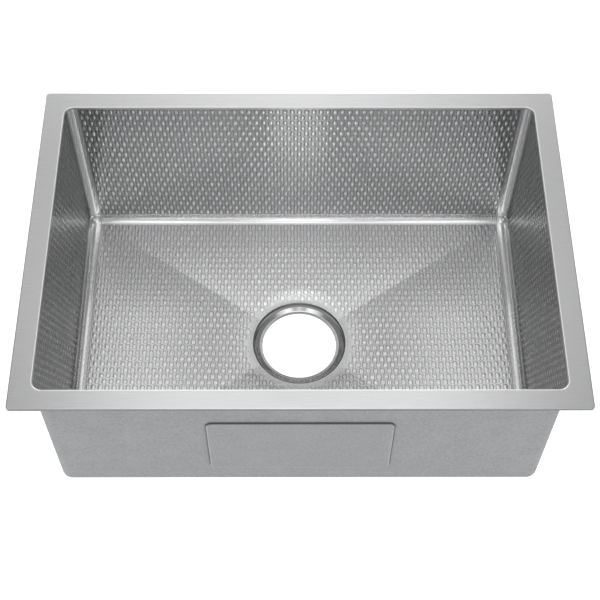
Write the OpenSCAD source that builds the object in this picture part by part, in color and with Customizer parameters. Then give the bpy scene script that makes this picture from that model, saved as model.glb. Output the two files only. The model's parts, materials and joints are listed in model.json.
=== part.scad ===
// Undermount kitchen sink: a plate flange welded round an embossed sheet bowl, with a pressed
// drain seat, rubber sound pads and a sprayed undercoat over the outside.
// X runs left to right, Y front to back and Z up. The origin is the centre of the opening,
// in the plane of the flange's upper face, where the underside of a worktop lies.

/* [Bowl] */
// Inside width of the bowl
bowl_w = 537; // [440:1:700]
// Inside depth of the bowl, front to back
bowl_d = 363; // [300:1:460]
// Depth of the bowl from the flange's face to the foot of the walls
bowl_h = 220; // [190:1:260]
// Inside radius of the upright corners and of the bends at the floor
bend_r = 10; // [6:0.5:16]
// Thickness of the bowl's sheet
sheet_t = 1.2; // [0.8:0.1:1.6]
// Fall of the floor's four facets to where they would meet over the drain
floor_fall = 6.5; // [3:0.5:9]

/* [Flange] */
// Width of the flange at the left and right ends
end_rim = 23.5; // [18:0.5:40]
// Width of the flange at the front and back
long_rim = 22.5; // [18:0.5:40]
// Thickness of the flange plate
flange_t = 3; // [2:0.25:4]
// Radius of the flange's outer corners
flange_corner_r = 4; // [2.5:0.5:12]
// Radius along the upper edges of the plate, outside and round the opening
flange_edge_r = 1.2; // [0.6:0.1:1.6]
// Leg of the fillet weld under the flange
flange_weld_leg = 3; // [2:0.5:4]

/* [End seams] */
// Flat strip of an end panel beyond its bends
seam_flat = 3; // [1:0.5:8]
// Width of the ground weld between an end panel and the wrapped sheet
seam_weld_w = 1; // [0.5:0.25:2]

/* [Drain seat] */
// Outer radius of the seat, where the floor meets it
seat_r = 57.5; // [56:0.25:60]
// Flat rim of the seat outside its shoulder
seat_rim = 0.8; // [0.5:0.1:1.2]
// Radius of the shoulder between the rim and the wall
seat_shoulder_r = 2; // [1.8:0.1:2.4]
// Slope of the seat's wall in degrees
seat_wall_slope = 66; // [60:1:75]
// Drop from the rim to the foot of the wall
seat_wall_drop = 4.7; // [4.4:0.1:6]
// Radius at the foot of the wall
seat_fillet_r = 1.2; // [0.8:0.1:1.6]
// Slope of the cone that leads to the outlet in degrees
seat_cone_slope = 20; // [12:1:26]
// Flat land round the outlet
seat_land = 3; // [2:0.5:4]
// Radius of the outlet hole
outlet_r = 45; // [43:0.5:46]
// Thickness of the seat
seat_t = 1.5; // [1:0.1:1.6]
// Leg of the weld under the floor round the seat
seat_weld_leg = 2.2; // [1.6:0.2:3]
// How far that weld hangs below the edge of the seat
seat_weld_sag = 0.7; // [0.5:0.1:1.2]

/* [Sound pads] */
// Thickness of the rubber pads
pad_t = 2.5; // [1.5:0.5:4]
// Corner radius of the pads
pad_corner_r = 6; // [3:0.5:12]
// Width of the front and back pads
long_pad_w = 196; // [120:1:240]
// Width of the left and right pads
end_pad_w = 150; // [100:1:200]
// Height of the pads on the walls
wall_pad_h = 107; // [60:1:120]
// Depth of the middle of the wall pads below the flange's face
wall_pad_z = 126; // [110:1:130]
// Length of the pads under the floor, left to right
floor_pad_w = 110; // [60:1:130]
// Depth of the pads under the floor, front to back
floor_pad_d = 130; // [60:1:150]
// Distance from the end of the wrapped sheet to a floor pad
floor_pad_inset = 24; // [15:1:30]

/* [Undercoat] */
// Thickness of the sprayed undercoat
coat_t = 1; // [0.5:0.1:1.5]
// Depth of the undercoat's upper edge below the flange's face
coat_top = 12; // [10:1:20]
// Bare ring left between the drain seat and the undercoat
coat_clear = 6; // [5:0.5:12]

/* [Hidden] */
$fn = 96;
// How far a cut runs past what it cuts
overrun = 1;
// Steps along each arc of the drain seat's section
arc_steps = 8;

steel = [0.74, 0.74, 0.73];
weld_steel = [0.62, 0.62, 0.62];
polished = [0.82, 0.82, 0.82];
coat_grey = [0.60, 0.61, 0.61];
pad_black = [0.16, 0.16, 0.17];

// A side is named by the angle from the back round to it, anticlockwise seen from above. A corner
// has the angle of the side that it leads into, so the back right corner goes with the back.
quarter_angle = 90;
back_angle = 0;
left_angle = quarter_angle;
front_angle = 2 * quarter_angle;
right_angle = 3 * quarter_angle;
all_angles = [back_angle, left_angle, front_angle, right_angle];

flange_w = bowl_w + 2 * end_rim;
flange_d = bowl_d + 2 * long_rim;
// Half lengths of the straight runs, which are also the centres of the corner bends
run_x = bowl_w / 2 - bend_r;
run_y = bowl_d / 2 - bend_r;
// Level of the centres of the floor bends
bend_z = -(bowl_h - bend_r);
// Outside radius of the bends
outer_r = bend_r + sheet_t;
// Where an end panel stops, and where the wrapped sheet stops beyond the weld
panel_x = run_x - seam_flat;
wrap_x = panel_x - seam_weld_w;
// Slope of the floor's left and right facets
end_slope = atan(floor_fall / wrap_x);

// The seat's rim lies at the lowest level of the floor at its radius, which is on the creases
seat_rise_share = 1 - seat_r / norm([wrap_x, run_y]);
seat_z = -(bowl_h + floor_fall * seat_rise_share);
shoulder_c = [seat_r - seat_rim, seat_z - seat_shoulder_r];
shoulder_end = shoulder_c + seat_shoulder_r * [-sin(seat_wall_slope), cos(seat_wall_slope)];
fillet_cz = seat_z - seat_wall_drop + seat_fillet_r * cos(seat_cone_slope);
wall_foot_z = fillet_cz - seat_fillet_r * cos(seat_wall_slope);
wall_foot_r = shoulder_end.x - (shoulder_end.y - wall_foot_z) / tan(seat_wall_slope);
fillet_c = [wall_foot_r - seat_fillet_r * sin(seat_wall_slope), fillet_cz];
cone_start = fillet_c - seat_fillet_r * [-sin(seat_cone_slope), cos(seat_cone_slope)];
land_r = outlet_r + seat_land;
land_z = cone_start.y - (cone_start.x - land_r) * tan(seat_cone_slope);

// Points of an arc about c, from its top round to where it slopes down inwards by the angles a to b
function arc(c, r, a, b) = [
    for (i = [0 : arc_steps]) let (t = a + (b - a) * i / arc_steps) c + r * [-sin(t), cos(t)]
];

// The seat's upper surface from the rim inwards, moved down into the metal by the distance o
function seat_curve(o) = concat(
    [[seat_r, seat_z - o]],
    arc(shoulder_c, seat_shoulder_r - o, 0, seat_wall_slope),
    arc(fillet_c, -(seat_fillet_r + o), seat_wall_slope, seat_cone_slope),
    [[land_r + o * tan(seat_cone_slope / 2), land_z - o], [outlet_r, land_z - o]]
);

// True for the back and the front, which run the long way
function is_long(side_angle) = side_angle == back_angle || side_angle == front_angle;

function reversed(list) = [for (i = [len(list) - 1 : -1 : 0]) list[i]];

// Flat quarter of a disc in the quadrant of positive x and y
module quarter_disc(r) {
    intersection() {
        circle(r = r);
        square(r);
    }
}

// Block with rounded upright corners, standing on the XY plane
module round_block(w, d, r, h) {
    translate([-w / 2 + r, -d / 2, 0]) cube([w - 2 * r, d, h]);
    translate([-w / 2, -d / 2 + r, 0]) cube([r, d - 2 * r, h]);
    translate([w / 2 - r, -d / 2 + r, 0]) cube([r, d - 2 * r, h]);
    for (a = all_angles) corner_turn(a, w, d, r) square([r, h]);
}

// Carries a flat profile along one side of a rounded rectangle. The profile's x is the distance
// outwards from the corner centres and its y is the height.
module side_run(side_angle, w, d, r, from, to) {
    reach = (is_long(side_angle) ? d : w) / 2 - r;
    rotate([0, 0, side_angle])
        translate([from, reach, 0])
            rotate([quarter_angle, 0, quarter_angle])
                linear_extrude(to - from) children();
}

// Carries the same profile round one corner
module corner_turn(side_angle, w, d, r) {
    sx = side_angle == back_angle || side_angle == right_angle ? 1 : -1;
    sy = side_angle == back_angle || side_angle == left_angle ? 1 : -1;
    translate([sx * (w / 2 - r), sy * (d / 2 - r), 0])
        rotate([0, 0, side_angle])
            rotate_extrude(angle = quarter_angle) children();
}

// Carries the same profile all the way round
module swept_loop(w, d, r) {
    for (a = all_angles) {
        run = (is_long(a) ? w : d) / 2 - r;
        side_run(a, w, d, r, -run, run) children();
        corner_turn(a, w, d, r) children();
    }
}

// Section of a wall and the bend at its foot, for an inside radius r and a thickness t
module wall_section(r, t, top) {
    translate([r, bend_z]) square([t, top - bend_z]);
    translate([0, bend_z])
        intersection() {
            difference() {
                circle(r = r + t);
                circle(r = r);
            }
            translate([0, -(r + t)]) square(r + t);
        }
}

module sheet_section() {
    wall_section(bend_r, sheet_t, -flange_t);
}

// The floor's four facets, which fall from the level top at their edges to a point at the middle
module floor_facets(top, t) {
    low = top - t;
    points = [
        [-wrap_x, -run_y, top], [wrap_x, -run_y, top], [wrap_x, run_y, top], [-wrap_x, run_y, top],
        [0, 0, top - floor_fall],
        [-wrap_x, -run_y, low], [wrap_x, -run_y, low], [wrap_x, run_y, low], [-wrap_x, run_y, low],
        [0, 0, low - floor_fall],
    ];
    faces = [
        [1, 0, 4], [2, 1, 4], [3, 2, 4], [0, 3, 4],
        [5, 6, 9], [6, 7, 9], [7, 8, 9], [8, 5, 9],
        [0, 1, 6, 5], [1, 2, 7, 6], [2, 3, 8, 7], [3, 0, 5, 8],
    ];
    polyhedron(points = points, faces = faces, convexity = 4);
}

// Upright cylinder that clears everything at the drain
module drain_cut(r) {
    translate([0, 0, land_z - seat_t - overrun])
        cylinder(r = r, h = -bowl_h - land_z + seat_t + 2 * overrun);
}

// Plate flange with rounded upper edges
module flange_frame() {
    e = flange_edge_r;
    color(steel) {
        difference() {
            translate([0, 0, -flange_t]) round_block(flange_w, flange_d, flange_corner_r, flange_t - e);
            translate([0, 0, -flange_t - overrun]) round_block(bowl_w, bowl_d, bend_r, flange_t + 2 * overrun);
        }
        difference() {
            translate([0, 0, -e]) round_block(flange_w - 2 * e, flange_d - 2 * e, flange_corner_r - e, e);
            translate([0, 0, -e - overrun])
                round_block(bowl_w + 2 * e, bowl_d + 2 * e, bend_r + e, e + 2 * overrun);
        }
        swept_loop(flange_w, flange_d, flange_corner_r)
            translate([flange_corner_r - e, -e]) quarter_disc(e);
        swept_loop(bowl_w, bowl_d, bend_r)
            translate([bend_r + e, -e]) mirror([1, 0]) quarter_disc(e);
    }
}

// One sheet bent into the front wall, the creased floor and the back wall
module bowl_wrap() {
    color(steel) {
        for (a = [back_angle, front_angle])
            side_run(a, bowl_w, bowl_d, bend_r, -wrap_x, wrap_x) sheet_section();
        difference() {
            floor_facets(-bowl_h, sheet_t);
            drain_cut(seat_r);
        }
    }
}

// Flat strip of floor between the facets and a bend, from x = from to x = to
module floor_strip(from, to, top, t) {
    translate([from, -run_y, top - t]) cube([to - from, 2 * run_y, t]);
}

// Pressed panel that closes the bowl's left end, with bends on three sides and ball corners
module end_panel() {
    color(steel) {
        side_run(left_angle, bowl_w, bowl_d, bend_r, -run_y, run_y) sheet_section();
        for (a = [left_angle, front_angle]) corner_turn(a, bowl_w, bowl_d, bend_r) sheet_section();
        side_run(back_angle, bowl_w, bowl_d, bend_r, -run_x, -panel_x) sheet_section();
        side_run(front_angle, bowl_w, bowl_d, bend_r, panel_x, run_x) sheet_section();
        floor_strip(-run_x, -panel_x, -bowl_h, sheet_t);
    }
}

module left_end_panel() {
    end_panel();
}

module right_end_panel() {
    mirror([1, 0, 0]) end_panel();
}

// Butt weld between an end panel and the wrapped sheet, ground flush on both faces
module seam_weld() {
    color(weld_steel) {
        side_run(back_angle, bowl_w, bowl_d, bend_r, -panel_x, -wrap_x) sheet_section();
        side_run(front_angle, bowl_w, bowl_d, bend_r, wrap_x, panel_x) sheet_section();
        floor_strip(-panel_x, -wrap_x, -bowl_h, sheet_t);
    }
}

module left_seam_weld() {
    seam_weld();
}

module right_seam_weld() {
    mirror([1, 0, 0]) seam_weld();
}

// Fillet weld between the flange's underside and the bowl's walls
module flange_weld() {
    leg = flange_weld_leg;
    color(weld_steel)
        swept_loop(bowl_w, bowl_d, bend_r)
            translate([outer_r, -flange_t]) polygon([[0, 0], [leg, 0], [0, -leg]]);
}

// Pressed and polished seat for the strainer, with the outlet hole
module drain_seat() {
    color(polished)
        rotate_extrude()
            polygon(concat(seat_curve(0), reversed(seat_curve(seat_t))));
}

// Weld bead under the floor, round the seat
module drain_weld() {
    foot = seat_z - seat_t - seat_weld_sag;
    far = seat_r + seat_weld_leg;
    color(weld_steel)
        difference() {
            rotate_extrude()
                polygon([[seat_r, foot], [far, foot + seat_weld_leg], [far, -bowl_h], [seat_r, -bowl_h]]);
            floor_facets(-bowl_h + floor_fall, sheet_t + floor_fall);
        }
}

// Pad on the outside of one wall; grow is the thickness of coat laid over it
module wall_pad(side_angle, w, grow) {
    reach = (is_long(side_angle) ? bowl_d : bowl_w) / 2 + sheet_t;
    rotate([0, 0, side_angle])
        translate([0, reach, -wall_pad_z])
            rotate([-quarter_angle, 0, 0])
                round_block(w + 2 * grow, wall_pad_h + 2 * grow, pad_corner_r + grow, pad_t + grow);
}

// Pad under the floor's left facet
module floor_pad(grow) {
    translate([-wrap_x, 0, -bowl_h - sheet_t])
        rotate([0, end_slope, 0])
            translate([floor_pad_inset + floor_pad_w / 2, 0, -pad_t - grow])
                round_block(floor_pad_w + 2 * grow, floor_pad_d + 2 * grow, pad_corner_r + grow, pad_t + grow);
}

// Every pad, with the same thickness of coat over each
module all_pads(grow) {
    for (a = [back_angle, front_angle]) wall_pad(a, long_pad_w, grow);
    for (a = [left_angle, right_angle]) wall_pad(a, end_pad_w, grow);
    floor_pad(grow);
    mirror([1, 0, 0]) floor_pad(grow);
}

module front_sound_pad() {
    color(pad_black) wall_pad(front_angle, long_pad_w, 0);
}

module back_sound_pad() {
    color(pad_black) wall_pad(back_angle, long_pad_w, 0);
}

module left_sound_pad() {
    color(pad_black) wall_pad(left_angle, end_pad_w, 0);
}

module right_sound_pad() {
    color(pad_black) wall_pad(right_angle, end_pad_w, 0);
}

module left_floor_pad() {
    color(pad_black) floor_pad(0);
}

module right_floor_pad() {
    color(pad_black) mirror([1, 0, 0]) floor_pad(0);
}

// Sprayed coat over the outside of the bowl and over the pads
module undercoat() {
    under = -bowl_h - sheet_t;
    color(coat_grey)
        difference() {
            union() {
                swept_loop(bowl_w, bowl_d, bend_r) wall_section(outer_r, coat_t, -coat_top);
                floor_facets(under, coat_t);
                floor_strip(-run_x, -wrap_x, under, coat_t);
                floor_strip(wrap_x, run_x, under, coat_t);
                all_pads(coat_t);
            }
            all_pads(0);
            drain_cut(seat_r + coat_clear);
        }
}

flange_frame();
bowl_wrap();
left_end_panel();
right_end_panel();
left_seam_weld();
right_seam_weld();
flange_weld();
drain_seat();
drain_weld();
undercoat();
front_sound_pad();
back_sound_pad();
left_sound_pad();
right_sound_pad();
left_floor_pad();
right_floor_pad();
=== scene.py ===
"""Undermount kitchen sink: embossed sheet, sprayed coat and steel finishes, built round the frame."""
import json
import math

import bmesh
import bpy
import numpy as np
from mathutils import Matrix, Vector
from mathutils.geometry import delaunay_2d_cdt


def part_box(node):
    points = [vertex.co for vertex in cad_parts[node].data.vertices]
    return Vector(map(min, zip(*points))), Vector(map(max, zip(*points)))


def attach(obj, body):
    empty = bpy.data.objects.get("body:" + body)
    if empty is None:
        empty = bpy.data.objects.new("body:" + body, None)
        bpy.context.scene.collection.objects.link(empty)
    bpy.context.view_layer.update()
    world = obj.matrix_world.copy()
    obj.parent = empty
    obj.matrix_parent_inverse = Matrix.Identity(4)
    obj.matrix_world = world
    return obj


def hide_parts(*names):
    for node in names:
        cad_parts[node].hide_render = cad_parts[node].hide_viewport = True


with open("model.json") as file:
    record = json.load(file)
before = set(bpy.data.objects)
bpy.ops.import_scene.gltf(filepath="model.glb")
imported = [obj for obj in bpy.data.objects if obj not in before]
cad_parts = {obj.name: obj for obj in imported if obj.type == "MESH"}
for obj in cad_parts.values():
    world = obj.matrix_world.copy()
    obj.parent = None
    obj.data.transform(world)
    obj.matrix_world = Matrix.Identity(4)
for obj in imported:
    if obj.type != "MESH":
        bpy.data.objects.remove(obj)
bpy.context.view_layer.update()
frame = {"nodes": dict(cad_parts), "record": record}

# Sizes in metres that the frame's boxes don't give
MM = 0.001
SHEET_T = 1.2 * MM
COAT_T = 1 * MM
PAD_T = 2.5 * MM
BEND_R = 10 * MM
FLOOR_FALL = 6.5 * MM
PAD_CORNER_R = 6 * MM
WALL_PAD_Z = -126 * MM
WALL_PAD_HALF_H = 53.5 * MM
LONG_PAD_HALF_W = 98 * MM
END_PAD_HALF_W = 75 * MM
FLOOR_PAD_X = 175.5 * MM
FLOOR_PAD_HALF_W = 55 * MM
FLOOR_PAD_HALF_D = 65 * MM
COAT_HOLE_R = 63.5 * MM
FLANGE_T = 3 * MM
FLANGE_CORNER_R = 4 * MM
FLANGE_EDGE_R = 1.2 * MM

# The pressed drain seat, from its rim in to the outlet: shoulder, wall, fillet, cone, land and lip
OUTLET_R = 45 * MM
SEAT_T = 1.5 * MM
SEAT_EDGE = 0.8 * MM
SEAT_SHOULDER_R = 2 * MM
SEAT_WALL_DROP = 4.7 * MM
SEAT_WALL_TILT = math.radians(24)
SEAT_FILLET_R = 1.2 * MM
SEAT_CONE_TILT = math.radians(20)
SEAT_LAND = 3 * MM
SEAT_LIP_R = 0.4 * MM
# The soft turn from the cone to the land, measured from the land's edge
SEAT_CONE_END = 1.2 * MM
SEAT_TURN_OUT = 0.4 * MM
SEAT_TURN_RISE = 0.05 * MM
SEAT_TURN_IN = 0.6 * MM

# Soft edge of the coat over a pad, from its foot to its flat: steps outwards from the pad's outline,
# and shares of the pad's thickness
PAD_EDGE = (
    (2.2 * MM, 0), (0.9 * MM, 0), (0.3 * MM, 0.04), (0.1 * MM, 0.2), (0, 0.62),
    (-0.3 * MM, 0.86), (-0.8 * MM, 0.98), (-1.3 * MM, 1), (-2.5 * MM, 1),
)
# Plain frame inside a flat face's edges, which keeps its shading flat
FACE_BORDER = 3 * MM

# Places read from the frame
panel_low, panel_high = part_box("right_end_panel")
seat_low, seat_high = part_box("drain_seat")
flange_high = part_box("flange_frame")[1]
WALL_X = panel_high.x - SHEET_T
WALL_Y = panel_high.y - SHEET_T
SHEET_TOP_Z = panel_high.z
FOOT_Z = panel_low.z + SHEET_T
PANEL_X = panel_low.x
WRAP_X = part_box("bowl_wrap")[1].x
RUN_X = WALL_X - BEND_R
RUN_Y = WALL_Y - BEND_R
BEND_Z = FOOT_Z + BEND_R
SEAT_R = seat_high.x
RIM_Z = seat_high.z
COAT_TOP_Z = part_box("undercoat")[1].z

# The pressed pattern: staggered rows of ovals raised into the bowl
COLUMN_PITCH = 8.35 * MM
FLOOR_ROW = 7.95 * MM
WALL_ROW = 10.0 * MM
WALL_OVAL_HALF_W = 2.3 * MM
FLOOR_OVAL_HALF_W = 2.6 * MM
HALF_OVAL_HALF_W = 1.5 * MM
CELL_FILL_SHARE = 0.97
OVAL_LENGTH_SHARE = 0.49
OVAL_SHIFT = 0.3 * MM
OVAL_SIZE_SPREAD_SHARE = 0.1
WALL_RELIEF = 0.26 * MM
FLOOR_RELIEF = 0.13 * MM
RELIEF_SPREAD_SHARE = 0.35
# An oval's rings from its middle to its foot: shares of its outline and of its height
RING_SHARES = ((0.0, 1.0), (0.66, 0.88), (1.0, 0.0))
# Plain border kept round the drain seat, the rings of points in it, the reach over which the painted
# shade round the ovals' feet fades in, and the reach over which the floor comes down to the seat's rim
SEAT_MARGIN = 1 * MM
BORDER_RING_SHARES = (0, 0.2, 0.45, 0.8)
SEAT_FADE = 12 * MM
SEAT_BLEND = 20 * MM
BLEND_RING_SHARES = (0.3, 0.6, 1)
SEAT_SIDES = 160
COAT_HOLE_SIDES = SEAT_SIDES // 2
# Softness of the floor's creases in the mesh, as a share of the floor's half width
CREASE_SOFT_SHARE = 0.016
# Steps of the round forms' quarter turns, and of the seat's shorter arcs
ARC_STEPS = 12
CORNER_STEPS = 8
EDGE_STEPS = 6
SHOULDER_STEPS, SHOULDER_BACK_STEPS = 8, 4
FILLET_STEPS = 5
LIP_STEPS = 4

# Marks in the mesh, which the materials read as the attribute "relief". On the sheet, 0 is the ground,
# 1 an oval's top with its painted highlight and 2 a bend with a painted highlight, and an upright
# corner's painted highlight starts at an angle from the end wall and comes in over another.
BEND_HIGHLIGHT_MARK = 2.0
CORNER_HIGHLIGHT_START = math.radians(15)
CORNER_HIGHLIGHT_FADE = math.radians(40)
# On the coat, above 0 is painted shade, at a pad's foot and round the lower bends, and below 0 is a
# painted highlight near the top of a pad's edge
PAD_EDGE_MARKS = (0, 0.5, 1, 0.9, 0.2, -0.5, -0.6, -0.2, 0)
BEND_SHADE_MARK = 0.6
# On the flange, above 0 is a painted highlight along an edge, and below 0 a painted dark reflection on
# the plate's side. The marks fade out at some edge radii from the corner.
OPENING_FOOT_MARK = 1
OPENING_EDGE_MARK = 2
OUTER_EDGE_MARKS = (0.6, 0.6, 0.4, 0, -0.4, -0.8, -1)
PLATE_SIDE_REFLECTION_MARK = -1
EDGE_FADE_TOP = 1.6
EDGE_FADE_SIDE = 1.5
# On the drain seat, 1 is the wall's painted dark reflection
SEAT_WALL_MARK = 1
SEAT_FILLET_MARKS = (0.9, 0.6, 0.3, 0.1, 0, 0)
SEAT_LAND_MARKS = (0, 0.1, 0.3)
SEAT_LIP_MARK = 0.6

# Meshing: points that fall in one step of this grid are one point, and the grid is shifted so that
# round sizes don't lie on its steps
MERGE = 1e-6
MERGE_SHIFT = 0.37
# Twice the area below which a triangle counts as a line, and the triangulation's own tolerance
THIN_FACE = 1e-11
TRIANGULATION_GAP = 1e-9
SHARP_ANGLE = math.radians(35)
# An oval's outline stays a sharp edge where its "foot" attribute is above this
SHARP_FOOT = 0.02

# Tones of the pressed sheet: its ground, the ovals' tops lightened as a painted highlight, and the
# painted shade line round their feet
# The floor, the long walls and the end panels are one steel, toned apart as lit and shaded copies of it
FLOOR_STEEL = ((0.72, 0.722, 0.726), (0.76, 0.762, 0.766), (0.3, 0.302, 0.305))
WALL_STEEL = ((0.56, 0.562, 0.565), (0.97, 0.972, 0.975), (0.12, 0.122, 0.125))
END_STEEL = ((0.24, 0.242, 0.245), (0.98, 0.982, 0.985), (0.1, 0.102, 0.105))
# What the tops' painted highlight and the grain add to the tone, and the flecks that break up the ends'
# fine pattern
TOPS_HIGHLIGHT_SHARE = 0.8
GRAIN_SHARE = 0.2
END_FLECKS_SHARE = 0.18
FLECKS_SPAN = (-1.5, 2.5)
# Power that narrows the painted shade line round an oval's foot
FOOT_SHADE_SHARPNESS = 2.5
SHEET_ROUGH = (0.19, 0.26)
TOPS_SMOOTHER_BY = 0.03
CLOUD_ROUGH = 0.02
# Height of the bump that sharpens the shading across the floor's creases
CREASE_SHADE = 10 * MM
# Direction of the rubbed grain, and how far it stretches reflections
LONG_GRAIN = (1, 0, 0)
END_GRAIN = (0.5, 1, 0)
SHEET_STRETCH = 0.9
FLANGE_STRETCH = 0.5

# Tones of the other finishes, each from its dark to its light, and the tones of the painted highlights,
# painted shade and painted dark reflections that the marks bring in
HIGHLIGHT_STEEL = (0.96, 0.962, 0.965)
SATIN_TONES = ((0.68, 0.682, 0.687), (0.8, 0.802, 0.808))
SATIN_SPAN = (-1.0, 2.0)
SATIN_ROUGH = (0.24, 0.34)
PLATE_SIDE_REFLECTION = (0.16, 0.161, 0.163)
POLISHED_TONES = ((0.72, 0.722, 0.726), (0.84, 0.842, 0.847))
POLISHED_ROUGH = (0.1, 0.2)
SEAT_PAINTED_REFLECTION = (0.17, 0.172, 0.175)
WELD_TONES = ((0.5, 0.502, 0.505), (0.64, 0.642, 0.645))
WELD_ROUGH = (0.3, 0.45)
COAT_TONES = ((0.325, 0.329, 0.337), (0.4, 0.405, 0.414))
COAT_SPAN = (-2.2, 3.2)
COAT_ROUGH = 0.75
COAT_PAINTED_HIGHLIGHT = (0.6, 0.606, 0.618)
COAT_PAINTED_SHADE = (0.08, 0.081, 0.083)
RUBBER_TONES = ((0.02, 0.02, 0.021), (0.045, 0.045, 0.048))
RUBBER_ROUGH = 0.85
GROUND_TONES = ((0.86, 0.86, 0.86), (0.88, 0.88, 0.88))
GROUND_ROUGH = 0.9

# Noise of the finishes, as waves a metre and octaves, and the depth of the bump that it makes
SHEET_GRAIN, SHEET_GRAIN_DEPTH = (1400, 3), 0.03 * MM
SHEET_CLOUD = (25, 3)
END_FLECKS = (210, 1)
SATIN_GRAIN, SATIN_GRAIN_DEPTH = (1600, 3), 0.02 * MM
SATIN_LINES, SATIN_LINES_STRETCH = (300, 4), (0.12, 3.0, 1.0)
SATIN_MIX = (0.6, 0.4)
SEAT_RINGS, SEAT_RINGS_DEPTH = (1800, 2), 0.02 * MM
WELD_GRAIN, WELD_GRAIN_DEPTH = (900, 3), 0.06 * MM
COAT_SPRAY, COAT_CLOUD, COAT_MIX = (520, 3), (40, 3), (0.8, 0.2)
COAT_GRAIN, COAT_GRAIN_DEPTH = (1100, 2), 0.15 * MM
RUBBER_GRAIN, RUBBER_GRAIN_DEPTH = (700, 2), 0.05 * MM
GROUND_CLOUD = (3, 2)

# The stage: its floor, which glows a little because the photograph's ground is pure white, and the
# even light of the world
GROUND_SIZE = 60
GROUND_GAP = 0.2 * MM
GROUND_GLOW = 0.9
WORLD_STRENGTH = 0.2
# Soft lights of the studio's tent, as seen from the sink: degrees up from the back horizon and over
# the top to the front, degrees to either side, the spans of both, and brightness
LIGHTS = (
    (22, 0, 14, 5, 4.34), (22, 5, 14, 5, 4.15), (22, 11, 14, 7, 5.2), (22, 20, 14, 11, 2.36),
    (22, 35, 14, 19, 0.6), (22, 58, 14, 28, 0.23), (36, 0, 14, 5, 1.75), (36, 5, 14, 5, 1.32),
    (36, 11, 14, 7, 1.15), (36, 20, 14, 11, 0.8), (36, 35, 14, 19, 0.34), (48, 0, 10, 5, 0.35),
    (58, 5, 10, 5, 1.23), (58, 11, 10, 7, 0.3), (58, 20, 10, 11, 0.47), (68, 0, 10, 5, 0.22),
    (68, 5, 10, 5, 0.52), (68, 11, 10, 7, 1.04), (68, 20, 10, 11, 0.39), (78, 0, 10, 5, 1.65),
    (78, 5, 10, 5, 1.35), (78, 11, 10, 7, 0.88), (90, 0, 14, 5, 1.45), (90, 5, 14, 5, 1.2),
    (90, 11, 14, 7, 1.11), (104, 0, 14, 5, 0.7), (104, 5, 14, 5, 0.09), (104, 11, 14, 7, 1.21),
    (104, 20, 14, 11, 0.86), (104, 35, 14, 19, 0.48), (104, 58, 14, 28, 0.06),
    (117, 0, 12, 5, 0.81), (117, 5, 12, 5, 0.4), (117, 11, 12, 7, 0.5), (117, 20, 12, 11, 0.8),
    (129, 0, 12, 5, 3.01), (129, 5, 12, 5, 0.4), (129, 11, 12, 7, 0.5), (143, 11, 16, 7, 0.09),
    (143, 58, 16, 28, 3.81),
)
LIGHT_REACH = 2.2
LIGHT_TARGET = (0, 0, -0.1)
# The photograph's camera, fitted to the sink's corners, edges and drain: radians, and metres
CAMERA_YAW, CAMERA_PITCH, CAMERA_ROLL = 0.0093, 1.0207, 0.0073
CAMERA_AT = Vector((-6.561, -765.345, 1122.183)) * MM
CAMERA_SENSOR_MM = 36
CAMERA_LENS_MM = 75.96
CAMERA_CLIP_END = 50

rng = np.random.default_rng(11)


def smooth_step(t):
    t = np.clip(t, 0, 1)
    return t * t * (3 - 2 * t)


def floor_level(x, y):
    """Height of the floor's upper face: four facets that fall towards the drain, down to its rim."""
    a = np.abs(x) / WRAP_X
    b = np.abs(y) / RUN_Y
    # The greater of a and b, with a soft change from one to the other at the creases
    share = np.minimum(1, 0.5 * (a + b + np.sqrt((a - b) ** 2 + CREASE_SOFT_SHARE**2)))
    level = FOOT_Z - FLOOR_FALL * (1 - share)
    near = smooth_step((np.hypot(x, y) - SEAT_R) / SEAT_BLEND)
    return RIM_Z + (level - RIM_Z) * near


def point_keys(points):
    """Whole numbers that are the same for points in the same place."""
    return np.floor(points / MERGE + MERGE_SHIFT).astype(np.int64)


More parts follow.
